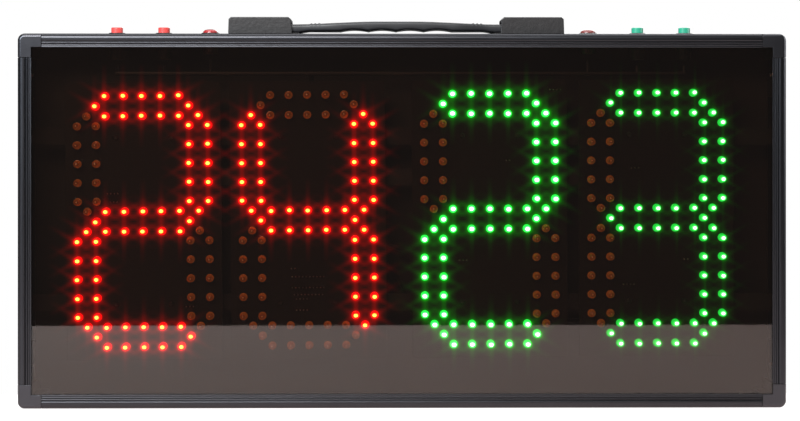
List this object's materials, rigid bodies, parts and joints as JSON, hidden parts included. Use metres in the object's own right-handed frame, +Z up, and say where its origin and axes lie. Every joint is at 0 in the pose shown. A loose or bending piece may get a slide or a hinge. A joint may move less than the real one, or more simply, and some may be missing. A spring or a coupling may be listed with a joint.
{
  "type": "led number board",
  "caption": "Portable electronic number board: shallow aluminium case with tinted window, seven-segment digits of single LEDs, push buttons and a flexible carrying strap.",
  "frame": {"origin": "centre of the base, on the surface that the case stands on", "axes": "+X along the case to the right as the digits are read, +Y from the front towards the rear cover, +Z up"},
  "size_m": [0.55, 0.045, 0.2803],
  "materials": {
    "aluminium": "natural anodised extrusion, satin, fine lengthwise grain",
    "corner_metal": "satin silver coated die casting",
    "steel": "zinc plated",
    "window": "clear smoke-tinted acrylic sheet, polished",
    "rear_plastic": "fine-grained black sheet",
    "circuit_board": "black solder mask with tinned joints",
    "cell_wrap": "blue shrink film",
    "black_plastic": "moulded nylon with a fine spark-eroded grain",
    "strap": "soft black moulded plastic, slight sheen",
    "lead": "flexible wire insulation",
    "red_cap": "moulded coral red, gloss",
    "green_cap": "moulded teal green, gloss",
    "led_red": "lit red LED, diffused epoxy lens",
    "led_green": "lit green LED, diffused epoxy lens",
    "led_unlit": "unlit LED, orange-brown epoxy lens",
    "rust_cap": "moulded dark red, satin gloss"
  },
  "bodies": {
    "root": {"frame_top": "aluminium", "frame_bottom": "aluminium", "frame_left": "aluminium", "frame_right": "aluminium", "board_rail_lower": "aluminium", "board_rail_upper": "aluminium", "corner_top_left": "corner_metal", "corner_top_right": "corner_metal", "corner_bottom_left": "corner_metal", "corner_bottom_right": "corner_metal", "corner_screw_1": "steel", "corner_screw_2": "steel", "corner_screw_3": "steel", "corner_screw_4": "steel", "corner_screw_5": "steel", "corner_screw_6": "steel", "corner_screw_7": "steel", "corner_screw_8": "steel", "battery_clamp": "steel", "charge_socket_nut": "steel", "red_button_1_nut": "steel", "red_button_2_nut": "steel", "green_button_1_nut": "steel", "green_button_2_nut": "steel", "handle_screw_left": "steel", "handle_screw_right": "steel", "front_window": "window", "rear_cover": "rear_plastic", "digit_board_1": "circuit_board", "digit_board_2": "circuit_board", "digit_board_3": "circuit_board", "digit_board_4": "circuit_board", "controller_board": "circuit_board", "battery_pack": "cell_wrap", "charge_socket": "black_plastic", "red_button_1_housing": "black_plastic", "red_button_2_housing": "black_plastic", "green_button_1_housing": "black_plastic", "green_button_2_housing": "black_plastic", "power_button_housing": "black_plastic", "reset_button_housing": "black_plastic", "handle_cap_left": "black_plastic", "handle_cap_right": "black_plastic", "handle_base_left": "black_plastic", "handle_base_right": "black_plastic", "display_ribbon": "lead", "battery_lead": "lead", "charge_lead": "lead", "button_loom": "lead"},
    "grip": {"handle_grip": "strap"},
    "link_left": {"handle_link_left": "strap"},
    "link_right": {"handle_link_right": "strap"},
    "end_left": {"handle_end_left": "strap"},
    "end_right": {"handle_end_right": "strap"},
    "red_cap_1": {"red_button_1_cap": "red_cap"},
    "red_cap_2": {"red_button_2_cap": "red_cap"},
    "green_cap_1": {"green_button_1_cap": "green_cap"},
    "green_cap_2": {"green_button_2_cap": "green_cap"},
    "power_cap": {"power_button_cap": "red_cap"},
    "reset_cap": {"reset_button_cap": "rust_cap"}
  },
  "joints": [
    {"name": "handle_lift", "type": "slide", "parent": "root", "child": "grip", "axis": [0, 0, 1], "range_m": [0, 0.015]},
    {"name": "link_right_turn", "type": "hinge", "parent": "grip", "child": "link_right", "pos_m": [0.0405, 0, 0.2736], "axis": [0, 1, 0], "range_deg": [0, 30.49]},
    {"name": "end_right_turn", "type": "hinge", "parent": "link_right", "child": "end_right", "pos_m": [0.0705, 0, 0.2724], "axis": [0, 1, 0], "range_deg": [-30.49, 0]},
    {"name": "link_left_turn", "type": "hinge", "parent": "grip", "child": "link_left", "pos_m": [-0.0495, 0, 0.2736], "axis": [0, 1, 0], "range_deg": [-30.49, 0]},
    {"name": "end_left_turn", "type": "hinge", "parent": "link_left", "child": "end_left", "pos_m": [-0.0795, 0, 0.2724], "axis": [0, 1, 0], "range_deg": [0, 30.49]},
    {"name": "red_press_1", "type": "slide", "parent": "root", "child": "red_cap_1", "axis": [0, 0, -1], "range_m": [0, 0.002], "stiffness_N_per_m": 300, "springref_m": -0.003},
    {"name": "red_press_2", "type": "slide", "parent": "root", "child": "red_cap_2", "axis": [0, 0, -1], "range_m": [0, 0.002], "stiffness_N_per_m": 300, "springref_m": -0.003},
    {"name": "green_press_1", "type": "slide", "parent": "root", "child": "green_cap_1", "axis": [0, 0, -1], "range_m": [0, 0.002], "stiffness_N_per_m": 300, "springref_m": -0.003},
    {"name": "green_press_2", "type": "slide", "parent": "root", "child": "green_cap_2", "axis": [0, 0, -1], "range_m": [0, 0.002], "stiffness_N_per_m": 300, "springref_m": -0.003},
    {"name": "power_press", "type": "slide", "parent": "root", "child": "power_cap", "axis": [0, 0, -1], "range_m": [0, 0.001], "stiffness_N_per_m": 300, "springref_m": -0.003},
    {"name": "reset_press", "type": "slide", "parent": "root", "child": "reset_cap", "axis": [0, 0, -1], "range_m": [0, 0.001], "stiffness_N_per_m": 300, "springref_m": -0.003}
  ],
  "couplings": [
    {"joint": "link_right_turn", "follows": "handle_lift", "rad_per_m": 35.36},
    {"joint": "end_right_turn", "follows": "handle_lift", "rad_per_m": -35.36},
    {"joint": "link_left_turn", "follows": "handle_lift", "rad_per_m": -35.36},
    {"joint": "end_left_turn", "follows": "handle_lift", "rad_per_m": 35.36}
  ]
}
